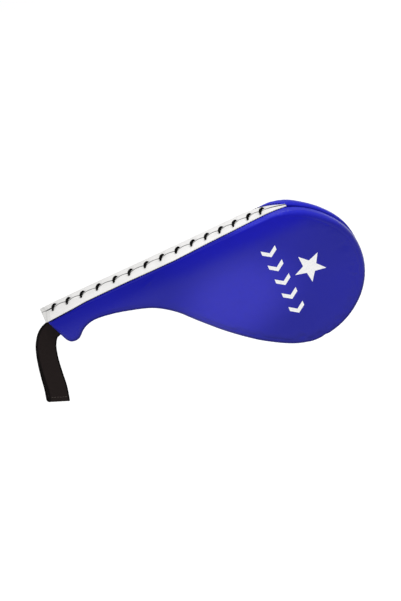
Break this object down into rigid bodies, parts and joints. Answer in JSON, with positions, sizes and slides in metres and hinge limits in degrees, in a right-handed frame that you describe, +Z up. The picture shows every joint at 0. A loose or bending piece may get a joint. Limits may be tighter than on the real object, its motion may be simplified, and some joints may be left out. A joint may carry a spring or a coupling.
{
  "type": "kick paddle",
  "caption": "Double-leaf kick paddle: round padded head, narrow grip with a flared butt, laced spine and wrist strap.",
  "frame": {"origin": "middle of the grip, in the middle plane of the gap between the two leaves", "axes": "+X along the laced spine towards the round head, +Z up towards the spine, the front leaf's strike face looks along -Y"},
  "size_m": [0.4246, 0.0394, 0.1892],
  "materials": {
    "pu_cover": "glossy smooth coated leatherette",
    "lining": "satin coated leatherette",
    "gusset": "satin white coated leatherette",
    "foam": "matt soft foam",
    "slap_board": "hard flexible board",
    "backing_pad": "matt foam sheet",
    "batten": "bare",
    "seam_thread": "twisted nylon thread",
    "lace": "waxed braided cord",
    "webbing": "flat woven webbing"
  },
  "bodies": {
    "rear_leaf": {"rear_cover": "pu_cover", "rear_foam": "foam", "rear_board": "slap_board", "rear_backing": "backing_pad", "rear_lining": "lining", "rear_batten": "batten", "rear_gusset": "gusset", "rear_seam_thread": "seam_thread", "spine_lace": "lace", "strap_tail": "webbing", "strap_bartack": "seam_thread"},
    "front_leaf": {"front_cover": "pu_cover", "front_foam": "foam", "front_board": "slap_board", "front_backing": "backing_pad", "front_lining": "lining", "front_batten": "batten", "front_gusset": "gusset", "front_seam_thread": "seam_thread"},
    "wrist_strap": {"wrist_strap": "webbing"}
  },
  "joints": [
    {"name": "leaf_spread", "type": "hinge", "parent": "rear_leaf", "child": "front_leaf", "pos_m": [0, 0, 0.01796], "axis": [-0.9999, 0, -0.0115], "range_deg": [0, 7]},
    {"name": "strap_swing", "type": "hinge", "parent": "rear_leaf", "child": "wrist_strap", "pos_m": [-0.0691, 0, -0.009], "axis": [0.3304, 0, -0.9439], "range_deg": [-75, 75]}
  ]
}
